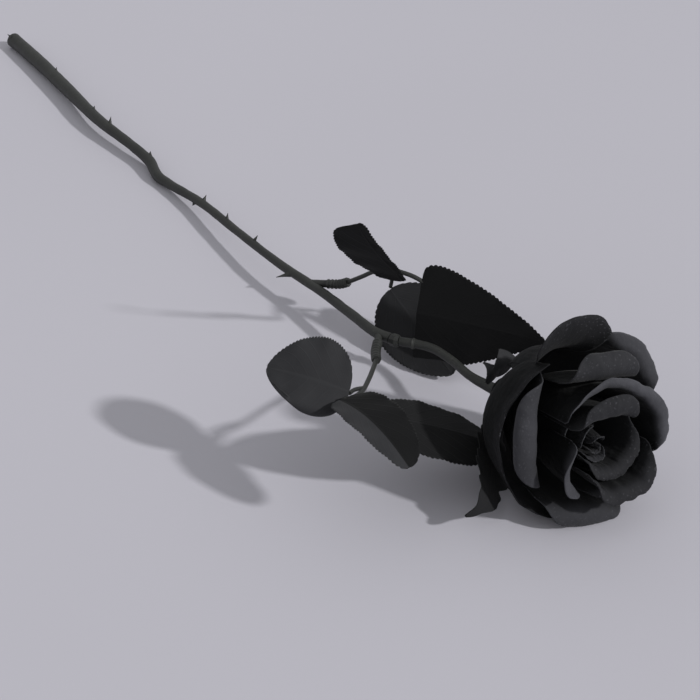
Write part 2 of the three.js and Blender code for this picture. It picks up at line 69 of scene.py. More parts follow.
# Wraps a socket, so that an expression on values adds its Math nodes.
class Value:
    def __init__(self, socket):
        self.socket = socket

    def mathNode(self, operation, numbers):
        settings = {"operation": operation}
        return nodeValue(self.socket.id_data, "ShaderNodeMath", settings, dict(enumerate(numbers)))

    def math(self, operation, *others):
        return self.mathNode(operation, (self, *others))

    def __add__(self, other):
        return self.math("ADD", other)

    def __sub__(self, other):
        return self.math("SUBTRACT", other)

    def __mul__(self, other):
        return self.math("MULTIPLY", other)

    def __truediv__(self, other):
        return self.math("DIVIDE", other)

    def __pow__(self, other):
        return self.math("POWER", other)

    def __rsub__(self, other):
        return self.mathNode("SUBTRACT", (other, self))

    def __rtruediv__(self, other):
        return self.mathNode("DIVIDE", (other, self))

    __radd__ = __add__
    __rmul__ = __mul__


def sine(value):
    return value.math("SINE")


def cosine(value):
    return value.math("COSINE")


def smooth(value):
    clipped = value.math("MAXIMUM", 0).math("MINIMUM", 1)
    return clipped * clipped * (3 - 2 * clipped)


# 0 up to start, 1 from width past it, with a smooth way between.
def fade(value, start, width):
    return smooth((value - start) / width)


# The first two parts of a vector.
def firstParts(tree, vector):
    parts = addNode(tree, "ShaderNodeSeparateXYZ", None, {0: vector})
    return Value(parts.outputs[0]), Value(parts.outputs[1])


def newFinish(name, roughness, specular):
    material = bpy.data.materials.new(name)
    material.use_nodes = True
    tree = material.node_tree
    shader = tree.nodes["Principled BSDF"]
    shader.inputs["Roughness"].default_value = roughness
    shader.inputs["Specular IOR Level"].default_value = specular
    return material, tree, shader


def objectPlace(tree):
    return Value(addNode(tree, "ShaderNodeTexCoord").outputs["Object"])


# A sheet's UV map, and its parts across and along the sheet, each from 0 to 1.
def sheetPlace(tree):
    flat = nodeValue(tree, "ShaderNodeUVMap", {"uv_map": "UVMap"})
    return flat, *firstParts(tree, flat)


def noise(tree, place, scale, detail, roughness=0.5, stretch=None):
    if stretch:
        place = nodeValue(tree, "ShaderNodeMapping", None, {"Vector": place, "Scale": stretch})
    values = {"Vector": place, "Scale": scale, "Detail": detail, "Roughness": roughness}
    return nodeValue(tree, "ShaderNodeTexNoise", None, values)


# A Mix node's sockets 6 and 7 take its two colours, and its output 2 gives the mixed one.
def mixColour(tree, factor, first, second):
    made = addNode(tree, "ShaderNodeMix", {"data_type": "RGBA"}, {0: factor})
    for socket, colour in zip((made.inputs[6], made.inputs[7]), (first, second)):
        if isinstance(colour, Value):
            tree.links.new(colour.socket, socket)
        else:
            socket.default_value = (*colour, 1)
    return Value(made.outputs[2])


# Links the colour, the roughness and the height of the fine relief to the shader.
def dress(tree, shader, finish, colour, roughness, height):
    tree.links.new(colour.socket, shader.inputs["Base Color"])
    tree.links.new(roughness.socket, shader.inputs["Roughness"])
    values = {"Height": height, "Strength": finish["bumpStrength"], "Distance": finish["bumpDepth"]}
    bump = nodeValue(tree, "ShaderNodeBump", None, values)
    tree.links.new(bump.socket, shader.inputs["Normal"])


# The lips are painted lighter, as painted light, and the walls below them darker, as painted shade.
# Stiffened cloth: a fine grain, soft puckers, pale flecks and lighter worn cut edges.
# A zone or a share is where a fade starts and how wide it is.
petalFinish = {
    "deep": (0.0055, 0.0062, 0.0062), "body": (0.0135, 0.0135, 0.0155), "lip": (0.038, 0.038, 0.043),
    "worn": (0.09, 0.09, 0.1), "roughness": 0.82, "roughSpread": 0.12, "specular": 0.2,
    "sheen": 0.07, "sheenRoughness": 0.45,
    "clouds": 55, "streaks": 6, "streakStretch": (5, 1, 1), "grain": 2600, "puckers": 130, "flecks": 900,
    "lipZone": (0.79, 0.11), "lipCorner": 0.21, "lipBase": 0.4, "lipCloud": 1.2,
    "fleckShare": (0.62, 0.06), "fleckZone": (0.86, 0.12),
    "endEdge": (0.985, 0.012), "sideEdge": (0.493, 0.005),
    "cloudShade": 0.9, "streakShade": 0.35, "shadeDrop": 0.2,
    "lipTone": 0.85, "edgeTone": 0.35, "grainTone": 0.35, "fleckTone": 0.45,
    "grainBump": 0.5, "puckerBump": 4, "streakBump": 0.6, "bumpStrength": 0.5, "bumpDepth": 0.00036,
}


# wallShadeLift and lipLightLift: painted shade on the wall and painted light on the lip, against the finish
# above.
def makePetalCloth(name, wallShadeLift, lipLightLift):
    finish = petalFinish
    material, tree, shader = newFinish(name, finish["roughness"], finish["specular"] * min(1, wallShadeLift))
    shader.inputs["Sheen Weight"].default_value = finish["sheen"] * min(1, wallShadeLift * lipLightLift)
    shader.inputs["Sheen Roughness"].default_value = finish["sheenRoughness"]
    deep, body = ([c * wallShadeLift for c in finish[key]] for key in ("deep", "body"))
    pale = [c * lipLightLift for c in finish["lip"]]
    place = objectPlace(tree)
    flat, across, length = sheetPlace(tree)
    side = (across - 0.5).math("ABSOLUTE")
    cloud = noise(tree, place, finish["clouds"], detail=2)
    streak = noise(tree, flat, finish["streaks"], detail=4, roughness=0.6, stretch=finish["streakStretch"])
    grain = noise(tree, place, finish["grain"], detail=2, roughness=0.6)
    pucker = noise(tree, place, finish["puckers"], detail=3, roughness=0.55)
    speck = noise(tree, place, finish["flecks"], detail=2)
    way = length * (1 - finish["lipCorner"] * (side * 2) ** 3)  # falls behind the length at the side edges
    # Painted light: the lip is lighter than the wall, which keeps its darker painted shade.
    lip = fade(way, *finish["lipZone"]) * (finish["lipBase"] + finish["lipCloud"] * cloud)
    fleck = fade(speck, *finish["fleckShare"]) * fade(length, *finish["fleckZone"])
    edge = fade(length, *finish["endEdge"]) + fade(side, *finish["sideEdge"])
    shade = smooth(cloud * finish["cloudShade"] + streak * finish["streakShade"] - finish["shadeDrop"])
    # Painted light on the lips, together with the worn cut edges.
    lipLightAndEdgeShare = (lip * finish["lipTone"] + edge * finish["edgeTone"]).math("MINIMUM", 1)
    colour = mixColour(tree, shade, deep, body)
    colour = mixColour(tree, lipLightAndEdgeShare, colour, pale)
    colour = mixColour(tree, grain * finish["grainTone"], colour, body)
    colour = mixColour(tree, fleck * finish["fleckTone"], colour, finish["worn"])
    roughness = finish["roughness"] + finish["roughSpread"] * (streak - 0.5)
    height = grain * finish["grainBump"] + pucker * finish["puckerBump"] + streak * finish["streakBump"]
    dress(tree, shader, finish, colour, roughness, height)
    return material


# Leaf cloth: a fine weave with a midrib, side ribs and a lighter cut edge.
leafFinish = {
    "dark": (0.0105, 0.0105, 0.0118), "body": (0.018, 0.018, 0.0195), "vein": (0.03, 0.031, 0.032),
    "roughness": 0.78, "roughSpread": 0.14, "specular": 0.17, "sheen": 0.04, "clouds": 70, "weave": 2200,
    "pairs": 7, "ribSweep": 0.9, "ribNarrowness": 13, "midribNarrowness": 34, "edgeZone": (0.485, 0.012),
    "cloudShade": 1.3, "shadeDrop": 0.15, "ribTone": 0.6, "patternTone": 0.13, "edgeTone": 0.5,
    "weaveTone": 0.15, "halfFade": 0.03,
    "weaveBump": 0.4, "patternBump": 1.2, "cloudBump": 1.5, "bumpStrength": 0.4, "bumpDepth": 0.00025,
}


# farLift and nearLift: how light the two halves beside the midrib are, against the finish above, set piece
# by piece as painted light and painted shade.
def makeLeafCloth(name, farLift, nearLift):
    finish = leafFinish
    material, tree, shader = newFinish(name, finish["roughness"], finish["specular"])
    shader.inputs["Sheen Weight"].default_value = finish["sheen"]
    dark, body, vein = ([c * nearLift for c in finish[key]] for key in ("dark", "body", "vein"))
    place = objectPlace(tree)
    across, length = sheetPlace(tree)[1:]
    across = across - 0.5
    side = across.math("ABSOLUTE")
    cloud = noise(tree, place, finish["clouds"], detail=3)
    weave = noise(tree, place, finish["weave"], detail=2, roughness=0.6)
    ribs = ((length - side * finish["ribSweep"]) * finish["pairs"]).math("FRACT")
    rib = smooth(1 - (ribs - 0.5).math("ABSOLUTE") * finish["ribNarrowness"])
    midrib = smooth(1 - side * finish["midribNarrowness"])
    pattern = (rib * finish["ribTone"] + midrib).math("MINIMUM", 1)
    edge = fade(side, *finish["edgeZone"])
    veinShare = pattern * finish["patternTone"] + edge * finish["edgeTone"] + weave * finish["weaveTone"]
    colour = mixColour(tree, smooth(cloud * finish["cloudShade"] - finish["shadeDrop"]), dark, body)
    colour = mixColour(tree, veinShare.math("MINIMUM", 1), colour, vein)
    # A far half with its own lightness: on the end leaflet it is the dark top side, painted shade.
    if farLift != nearLift:
        farHalf = 1 - smooth(across / finish["halfFade"])
        colour = mixColour(tree, farHalf, colour, [c * farLift for c in finish["body"]])
    roughness = finish["roughness"] + finish["roughSpread"] * (cloud - 0.5)
    height = weave * finish["weaveBump"] + pattern * finish["patternBump"] + cloud * finish["cloudBump"]
    dress(tree, shader, finish, colour, roughness, height)
    return material


# Moulded plastic: blotches, pale speckles and fine lines along the stem.
stemFinish = {
    "dark": (0.016, 0.017, 0.0158), "body": (0.034, 0.0355, 0.0325), "pale": (0.085, 0.085, 0.078),
    "roughness": 0.36, "roughSpread": 0.35, "specular": 0.45,
    "blotches": 55, "speckles": 420, "lines": 300, "lineStretch": (0.12, 1, 1),
    "blotchShade": 1.8, "shadeDrop": 0.4, "speckleShade": 4, "speckleDrop": 2.35, "speckleTone": 0.5,
    "lineBump": 1.3, "blotchBump": 2, "bumpStrength": 0.45, "bumpDepth": 0.0003,
}


def makeStemPlastic():
    finish = stemFinish
    material, tree, shader = newFinish("stemPlastic", finish["roughness"], finish["specular"])
    place = objectPlace(tree)
    blotch = noise(tree, place, finish["blotches"], detail=4, roughness=0.6)
    speckle = noise(tree, place, finish["speckles"], detail=3, roughness=0.6)
    lines = noise(tree, place, finish["lines"], detail=2, roughness=0.5, stretch=finish["lineStretch"])
    shade = smooth(blotch * finish["blotchShade"] - finish["shadeDrop"])
    paleShare = smooth(speckle * finish["speckleShade"] - finish["speckleDrop"]) * finish["speckleTone"]
    colour = mixColour(tree, shade, finish["dark"], finish["body"])
    colour = mixColour(tree, paleShare, colour, finish["pale"])
    roughness = finish["roughness"] + finish["roughSpread"] * blotch
    height = speckle + lines * finish["lineBump"] + blotch * finish["blotchBump"]
    dress(tree, shader, finish, colour, roughness, height)
    return material


petalCloth = makePetalCloth("petalCloth", wallShadeLift=1, lipLightLift=1)
# A darker copy of the petal cloth: painted shade, for the left outer petal and the bud's core.
petalShaded = makePetalCloth("petalShaded", wallShadeLift=0.65, lipLightLift=0.3)
# Copies of the leaf cloth: the darkest is painted shade for leaves turned from the light, the lightest is
# painted light.
leafCloth = makeLeafCloth("leafCloth", farLift=0.36, nearLift=0.36)
calyxCloth = makeLeafCloth("calyxCloth", farLift=0.8, nearLift=0.8)
leafLit = makeLeafCloth("leafClothLit", farLift=2, nearLift=2)
stemPlastic = makeStemPlastic()
print("finishes made")


# A tree that takes a geometry, named numbers and a material.
def newTree(name, floats=(), wholeNumbers=()):
    tree = bpy.data.node_groups.new(name, "GeometryNodeTree")
    inputs = [("Geometry", "Geometry"), *((label, "Float") for label in floats)]
    inputs += [*((label, "Int") for label in wholeNumbers), ("Material", "Material")]
    for label, kind in inputs:
        tree.interface.new_socket(label, in_out="INPUT", socket_type="NodeSocket" + kind)
    tree.interface.new_socket("Geometry", in_out="OUTPUT", socket_type="NodeSocketGeometry")
    entry = tree.nodes.new("NodeGroupInput")
    return tree, {socket.name: Value(socket) for socket in entry.outputs if socket.name}


def closeTree(tree, given, geometry):
    whole = nodeValue(tree, "GeometryNodeRealizeInstances", None, {0: geometry})
    values = {"Geometry": whole, "Material": given["Material"]}
    dressed = nodeValue(tree, "GeometryNodeSetMaterial", None, values)
    leave = tree.nodes.new("NodeGroupOutput")
    tree.links.new(dressed.socket, leave.inputs[0])


def combine(tree, x, y, z):
    return nodeValue(tree, "ShaderNodeCombineXYZ", None, {0: x, 1: y, 2: z})


# A flat sheet with its UV map, the place across it from -1 to 1, and along it from 0 to 1.
def makeGrid(tree, columns, rows):
    size = {"Size X": 1, "Size Y": 1, "Vertices X": columns, "Vertices Y": rows}
    grid = addNode(tree, "GeometryNodeMeshGrid", None, size)
    mesh, flat = Value(grid.outputs["Mesh"]), Value(grid.outputs["UV Map"])
    mapped = {"Geometry": mesh, "Name": "UVMap", "Value": flat}
    settings = {"data_type": "FLOAT2", "domain": "CORNER"}
    sheet = nodeValue(tree, "GeometryNodeStoreNamedAttribute", settings, mapped)
    x, y = firstParts(tree, nodeValue(tree, "GeometryNodeInputPosition"))
    return sheet, x * 2, y + 0.5


def moveTo(tree, geometry, x, y, z):
    values = {"Geometry": geometry, "Position": combine(tree, x * mm, y * mm, z * mm)}
    return nodeValue(tree, "GeometryNodeSetPosition", None, values)


# Runs a tree on a carrier object and keeps the result as a plain mesh, its object at the origin.
def bake(name, carrier, tree, values, thickness=0, turn=None):
    modifier = carrier.modifiers.new("shape", "NODES")
    modifier.node_group = tree
    for item in tree.interface.items_tree:
        if item.in_out == "INPUT" and item.name in values:
            modifier[item.identifier] = values[item.name]
    if thickness:
        wall = carrier.modifiers.new("wall", "SOLIDIFY")
        wall.thickness = thickness * mm
        wall.offset = 0
        wall.use_even_offset = False
    bpy.context.view_layer.update()
    evaluated = carrier.evaluated_get(bpy.context.evaluated_depsgraph_get())
    mesh = bpy.data.meshes.new_from_object(evaluated)
    bpy.data.objects.remove(carrier)
    mesh.transform(turn or Matrix.Translation(centre))
    mesh.name = name
    piece = bpy.data.objects.new(name, mesh)
    bpy.context.scene.collection.objects.link(piece)
    for face in mesh.polygons:
        face.use_smooth = True
    return piece


def emptyCarrier():
    carrier = bpy.data.objects.new("carrier", bpy.data.meshes.new("carrier"))
    bpy.context.scene.collection.objects.link(carrier)
    return carrier


def fit(piece, slot, *nodes):
    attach(piece, "root")
    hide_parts(*nodes)


# The name of the CAD node that a piece stands for.
def snakeCase(name):
    return "".join("_" + letter.lower() if letter.isupper() else letter for letter in name)


# The flower's axis, and the line of its layers. In a pair, the first is the value in the bud's middle,
# and the second is what is added at the outermost petals.
headShape = {
    "base": (89.4, 16.6, 22.6), "tilt": 10.5, "squash": 0.11, "lean": 9, "leanAngle": -45,
    "rootHeight": 15, "rootInner": 3.2, "rootOuter": 8.4,
    "rimInner": 59, "rimDrop": 14.5, "rimRadius": 3, "rimSpread": 30,
    "leave": (5, 33), "leavePull": (18, 6), "arrive": (-10, 24), "arrivePull": 20, "lipStart": 0.82,
    "tableGap": 0.3, "tableSoftness": 0.16,
}


# Height along the head's axis and distance from it, for one layer's line from root to lip.
# depth is 0 in the bud's middle and 1 at the outermost petals, and t runs from 0 to 1 along the line.
def headLine(depth, t, bearing, lift, roll, lip):
    head = headShape

    def layer(pair):
        return pair[0] + pair[1] * depth

    lean = head["lean"] * depth * cosine(bearing - head["leanAngle"] * radian)
    rootX = head["rootHeight"] * (1 - depth)
    rootR = head["rootInner"] + (head["rootOuter"] - head["rootInner"]) * depth
    rimX = head["rimInner"] - head["rimDrop"] * depth + lean + lift
    rimR = head["rimRadius"] + head["rimSpread"] * depth
    leave = layer(head["leave"]) * radian
    arrive = layer(head["arrive"]) * radian
    leavePull = layer(head["leavePull"])
    arrivePull = head["arrivePull"]
    s = (t / head["lipStart"]).math("MINIMUM", 1)
    r = 1 - s
    w0, w1, w2, w3 = r * r * r, 3 * r * r * s, 3 * r * s * s, s * s * s

    def wall(root, leaving, arriving, rim):
        return w0 * root + w1 * leaving + w2 * arriving + w3 * rim

    height = wall(rootX, rootX + leavePull * cosine(leave), rimX - arrivePull * cosine(arrive), rimX)
    radius = wall(rootR, rootR + leavePull * sine(leave), rimR - arrivePull * sine(arrive), rimR)
    turn = roll * radian
    curl = turn / lip
    angle = arrive + turn * (t - head["lipStart"]).math("MAXIMUM", 0) / (1 - head["lipStart"])
    return height + (sine(angle) - sine(arrive)) / curl, radius + (cosine(arrive) - cosine(angle)) / curl


# Moves a sheet to its place round the head's axis, never below the table.
def headPlace(tree, sheet, height, radius, bearing):
    head = headShape
    radius = radius * (1 + head["squash"] * sine(bearing))
    tilt = head["tilt"] * radian
    upward = radius * sine(bearing)
    x = head["base"][0] + height * math.cos(tilt) - upward * math.sin(tilt)
    y = head["base"][1] + radius * cosine(bearing)
    over = head["base"][2] + height * math.sin(tilt) + upward * math.cos(tilt) - head["tableGap"]
    z = head["tableGap"] + (over + (over * over + head["tableSoftness"]).math("SQRT")) * 0.5
    return moveTo(tree, sheet, x, y, z)


petalShape = {
    "thickness": 0.45, "rootWidth": 0.62, "fullAt": 0.55, "phaseStep": 1.7,
    "longWaves": 7, "longShare": 0.7, "shortWaves": 17, "shortShare": 0.3, "waveZone": (0.45, 0.5),
    "crinkle": 1.4, "crinkleZone": (0.7, 0.3), "crinkleScale": 3, "crinkleAcross": 2.2, "crinkleAlong": 4,
    "columnsPerDegree": 1.6, "fewestColumns": 60, "mostColumns": 150, "rows": 80,
}

# Bearing and half width in degrees, depth, how it spirals and bows across, lift of the rim, length and
# turn of the lip, its waves, how much the corners are cut, and how the lip's length slopes across.
petals = {
    "outerPetalTop": (84, 25, 0.79, 0.03, -0.04, -19, 26, 70, 0.4, 0.04, 0),
    "outerPetalRight": (38, 25, 1, -0.03, 0.05, -1.8, 9, 122, 0.9, 0.12, 0),
    "outerPetalFar": (326, 37, 0.9, 0.05, 0, -6, 9, 120, 0.4, 0.22, 0),
    "outerPetalBottom": (254, 36, 0.81, -0.05, 0.21, 2.2, 13.5, 130, 0.5, 0.18, 0),
    "outerPetalLeft": (172, 66, 1, -0.1, -0.02, -2.5, 8, 10, 0.7, 0.04, 0),
    "secondPetalLeft": (161, 50, 0.67, 0.03, 0.2, 3, 14.5, 175, 0.4, 0.22, 0),
    "secondPetalTop": (77, 32, 0.69, 0.03, 0.1, 7, 14.4, 158, 0.6, 0.2, 0),
    "secondPetalRight": (57, 77, 0.645, 0.07, -0.04, 11, 5.6, 143, 0.6, 0.2, -0.75),
    "secondPetalBottom": (281, 72, 0.475, -0.117, -0.04, 9.9, 8.8, 103, 1, 0.22, 0),
    "thirdPetalFar": (300, 38, 0.72, 0.04, 0, -3, 8, 100, 0.3, 0.22, 0),
    "thirdPetalLeft": (194, 43, 0.47, -0.158, 0, 6.7, 10.4, 81, 0.4, 0.22, 0),
    "innerPetalTop": (91, 46, 0.37, -0.03, 0.06, 12, 11, 150, 0.4, 0.22, -0.25),
    "innerPetalLeft": (140, 38, 0.22, 0, 0, -8, 3, 20, 0.2, 0.22, 0),
    "innerPetalFar": (275, 32, 0.3, 0, 0, -2, 3, 20, 0.2, 0.22, 0),
    "budPetalRight": (287, 105, 0.207, -0.148, 0.136, 1.8, 8, 115, 0.3, 0.22, 0),
    "budPetalLeft": (130, 58, 0.12, 0.01, 0, -4, 4, 40, 0.15, 0.22, 0),
    "budPetalBottom": (260, 70, 0.1, 0.01, 0, -4, 4, 40, 0.15, 0.22, 0),
    "budWrapTop": (80, 80, 0.01, 0.01, 0, -4, 3, 30, 0.1, 0.22, 0),
    "budWrapBottom": (260, 80, 0.01, 0.01, 0, -5, 3, 30, 0.1, 0.22, 0),
    "budRoll": (130, 172, -0.075, 0.01, 0, -5, 3, 20, 0.1, 0.22, 0),
}
petalInputs = ("Bearing", "Half Width", "Depth", "Spiral", "Bow", "Lift", "Lip", "Roll", "Waves", "Corner",
               "Slope")

# How light the wall and the lip of some petals are: painted shade on walls turned from the light, painted
# light on lips.
petalLightAndShade = {
    "outerPetalTop": (0.9, 0.45),
    "outerPetalRight": (0.9, 1.8),
    "secondPetalRight": (0.4, 2.5),
    "secondPetalTop": (1, 0.85),
    "thirdPetalLeft": (0.35, 1.9),
    "secondPetalLeft": (0.6, 1.4),
    "innerPetalTop": (0.9, 0.7),
    "budPetalRight": (1, 0.55),
    "secondPetalBottom": (0.85, 0.6),
    "outerPetalBottom": (0.8, 1.2),
}


def petalTree():
    petal = petalShape
    tree, given = newTree("petal", (*petalInputs, "Phase"), ("Columns", "Rows"))
    sheet, across, way = makeGrid(tree, given["Columns"], given["Rows"])
    t = (1 - given["Corner"] * across.math("ABSOLUTE") ** 3) * way
    spread = petal["rootWidth"] + (1 - petal["rootWidth"]) * smooth(t / petal["fullAt"])
    depth = given["Depth"] + (given["Bow"] * across - given["Spiral"]) * across * spread
    bearing = (given["Bearing"] + given["Half Width"] * spread * across) * radian
    lip = given["Lip"] * (1 + given["Slope"] * across)
    height, radius = headLine(depth, t, bearing, given["Lift"], given["Roll"], lip)
    longWave = sine(bearing * petal["longWaves"] + given["Phase"] * 2)
    shortWave = sine(bearing * petal["shortWaves"] + given["Phase"] * 5)
    wave = longWave * petal["longShare"] + shortWave * petal["shortShare"]
    place = combine(tree, bearing * petal["crinkleAcross"], t * petal["crinkleAlong"], given["Phase"])
    crinkle = noise(tree, place, petal["crinkleScale"], detail=3, roughness=0.6) - 0.5
    radius = radius + (given["Waves"] * wave + petal["crinkle"] * crinkle) * fade(t, *petal["waveZone"])
    height = height + petal["crinkle"] * crinkle * fade(t, *petal["crinkleZone"])
    closeTree(tree, given, headPlace(tree, sheet, height, radius, bearing))
    return tree


petalCloths = {name: makePetalCloth(name + "Cloth", *tones) for name, tones in petalLightAndShade.items()}
# The left outer petal, turned from the light, takes the darker copy: painted shade.
petalCloths["outerPetalLeft"] = petalShaded
petalPlan = petalTree()
for order, (name, row) in enumerate(petals.items()):
    values = {label: float(value) for label, value in zip(petalInputs, row)}
    columns = max(petalShape["fewestColumns"], values["Half Width"] * petalShape["columnsPerDegree"])
    columns = int(min(petalShape["mostColumns"], columns))
    values |= {"Phase": order * petalShape["phaseStep"], "Columns": columns, "Rows": petalShape["rows"]}
    values |= {"Material": petalCloths.get(name, petalCloth)}
    piece = bake(name, emptyCarrier(), petalPlan, values, petalShape["thickness"])
    fit(piece, "petal_cloth", snakeCase(name))
print("petals made")


# The calyx is a cup under the petals with five sepals. The first two sepals are short and take the lighter
# leaf cloth, painted light.
calyxShape = {
    "cupLength": 5.2, "cupFoot": 2.7, "cupRim": 7.4, "cupDrop": 0.5, "cupClosing": 12, "cupHole": 0.02,
    "cupThickness": 0.3, "cupSides": 64, "cupRows": 24,
    "sepalReach": 62, "lift": -2, "lip": 12, "roll": 60, "footFade": 9, "footShare": 0.8,
    "taper": 2.8, "fineLobes": 37, "broadLobes": 11, "broadShift": 0.3, "lobeDepth": 0.24,
    "tipHalf": 0.4, "hollow": 0.8, "thickness": 0.4, "columns": 21, "rows": 90, "litSepals": 2,
}

# Bearing, depth, length, half width, bend away from the head's axis, swing of the tip round the head,
# lobes at the sides, and widest place.
sepals = [
    (84, 1.22, 5.6, 4, 60, 0, 0.2, 0.6),
    (112, 1.2, 4.6, 3, 70, 0, 0.2, 0.4),
    (212, 1.12, 64, 9, 12, -10, 1, 0.68),
    (250, 1.2, 46, 6, 6, 0, 0.6, 0.6),
    (345, 1.1, 34, 5, 6, 0, 0.6, 0.4),
]
sepalInputs = ("Bearing", "Depth", "Length", "Half Width", "Bend", "Swing", "Lobes", "Widest")


def sepalTree():
    calyx = calyxShape
    tree, given = newTree("sepal", sepalInputs)
    sheet, across, way = makeGrid(tree, calyx["columns"], calyx["rows"])
    widest = given["Widest"]
    centreLine = (given["Bearing"] + given["Swing"] * way * way) * radian

    def line(t):
        return headLine(given["Depth"], t, centreLine, calyx["lift"], calyx["roll"], calyx["lip"])

    rootX, rootR = line(way * 0)
    lineX, lineR = line(way * given["Length"] / calyx["sepalReach"])
    bend = given["Bend"] * radian * way * way
    outX, outR = lineX - rootX, lineR - rootR
    height = rootX + outX * cosine(bend) - outR * sine(bend)
    radius = rootR + outX * sine(bend) + outR * cosine(bend)
    foot = 1 - smooth(way * calyx["footFade"])
    height = height - foot * (calyx["cupLength"] / 2)
    radius = radius * (1 - foot) + foot * (calyx["cupRim"] * calyx["footShare"])
    v = way.math("MAXIMUM", 0.001).math("MINIMUM", 0.999)  # keeps the powers finite
    outline = (v / widest) ** widest * ((1 - v) / (1 - widest)) ** (calyx["taper"] - calyx["taper"] * widest)
    fine = sine(way * calyx["fineLobes"] + given["Bearing"])
    lobe = fine * sine(way * calyx["broadLobes"] + given["Bearing"] * calyx["broadShift"])
    half = calyx["tipHalf"] + given["Half Width"] * outline
    half = half * (1 + given["Lobes"] * calyx["lobeDepth"] * lobe)
    bearing = centreLine + across * half / radius.math("MAXIMUM", calyx["cupRim"])
    radius = radius + across * across * calyx["hollow"] * outline
    closeTree(tree, given, headPlace(tree, sheet, height, radius, bearing))
    return tree


def cupTree():
    calyx = calyxShape
    tree, given = newTree("cup")
    sheet, across, way = makeGrid(tree, calyx["cupSides"] + 1, calyx["cupRows"])
    height = way * calyx["cupLength"] - calyx["cupLength"] - calyx["cupDrop"]
    radius = calyx["cupFoot"] + (calyx["cupRim"] - calyx["cupFoot"]) * sine(way * math.pi / 2)
    radius = radius * smooth(way * calyx["cupClosing"]) + calyx["cupHole"]
    closeTree(tree, given, headPlace(tree, sheet, height, radius, across * math.pi))
    return tree


# Joins objects into one mesh with a name of its own.
def joined(name, parts):
    whole = parts[0]
    with bpy.context.temp_override(active_object=whole, selected_editable_objects=parts):
        bpy.ops.object.join()
    whole.name = whole.data.name = name
    return whole


sepalPlan = sepalTree()
parts = [bake("cup", emptyCarrier(), cupTree(), {"Material": calyxCloth}, calyxShape["cupThickness"])]
for order, row in enumerate(sepals):
    values = {label: float(value) for label, value in zip(sepalInputs, row)}
    values |= {"Material": leafLit if order < calyxShape["litSepals"] else calyxCloth}
    parts.append(bake("sepal", emptyCarrier(), sepalPlan, values, calyxShape["thickness"]))
fit(joined("calyx", parts), "leaf_cloth", "calyx")
print("calyx made")


# The near half lies toward the point edge. footFull and tipFull say how fast the outline narrows to each
# end, slim is how wide the near half is against the far one, and droop turns the near edge down. tone is
# how light the far half and the near half are, set leaf by leaf as painted light and painted shade. On the
# end leaflet of the lower spray the dark far half is painted shade, and the light near strip is partly the
# rolled edge's paler underside and partly painted light.
leaflets = {
    "upperLeafletSide": {
        "base": (14.9, 17.6, 37.8), "tip": (21.3, -11.2, 76.2), "edge": (27.7, 27.5, 42),
        "width": 28, "widest": 0.6, "footFull": 0.55, "tipFull": 0.5,
        "fold": 2, "sag": 0, "twist": 10, "curl": 3, "droop": 0, "slim": 0.2},
    "upperLeafletEnd": {
        "base": (21, 20.4, 23.6), "tip": (77, 45.4, 31), "edge": (58, 28, 9),
        "width": 37, "widest": 0.3, "footFull": 0.35, "tipFull": 1.35,
        "fold": 5, "sag": 2, "twist": 0, "curl": 0, "droop": 0, "slim": 1.05},
    "upperLeafletLow": {
        "base": (-2, 22.6, 22.4), "tip": (44.9, 22.5, 4.5), "edge": (-4.9, 10, 14.6),
        "width": 33, "widest": 0.4, "footFull": 1.35, "tipFull": 1.35,
        "fold": 3, "sag": 1, "twist": 0, "curl": 0, "droop": 0, "slim": 1, "tone": (1.35, 1.35)},
    "lowerLeafletSide": {
        "base": (74.3, -50.6, 43), "tip": (53.5, -75, 52), "edge": (73, -63.5, 40),
        "width": 33, "widest": 0.42, "footFull": 1.1, "tipFull": 1.2,
        "fold": 4, "sag": 3, "twist": 0, "curl": 0, "droop": 9, "slim": 1.6, "tone": (1.7, 1.7)},
    "lowerLeafletEnd": {
        "base": (78.2, -57.4, 44), "tip": (124, -57.2, 41), "edge": (81, -75, 43.5),
        "width": 24, "widest": 0.45, "footFull": 0.7, "tipFull": 0.8,
        "fold": -6, "sag": -5, "twist": 0, "curl": 0, "droop": 0, "slim": 0.65, "tone": (0.3, 2)},
    "lowerLeafletNear": {
        "base": (87.9, -52.5, 41), "tip": (101.5, 3, 11), "edge": (100, -61, 41),
        "width": 31, "widest": 0.45, "footFull": 1.2, "tipFull": 0.9,
        "fold": 8, "sag": -2, "twist": 0, "curl": 0, "droop": 0, "slim": 1, "tone": (0.42, 0.42)},
}
leafShape = {
    "foot": 1.6, "teeth": 30, "toothDepth": 0.65, "toothZone": (0.86, 0.14), "thickness": 0.4,
    "foldSharpness": 6, "broadPuffs": 19, "broadTilt": 3, "broadHeight": 0.3,
    "finePuffs": 43, "fineHeight": 0.18,
    "nearZone": (0.35, 0.65), "droopStart": 8, "droopEnd": 0.7, "droopFade": 4, "tuck": 0.45, "tuckDroop": 7,
    "columns": 33, "rows": 273,
}
leafInputs = ("Width", "Widest", "Foot Full", "Tip Full", "Fold", "Sag", "Twist", "Curl", "Droop", "Slim")


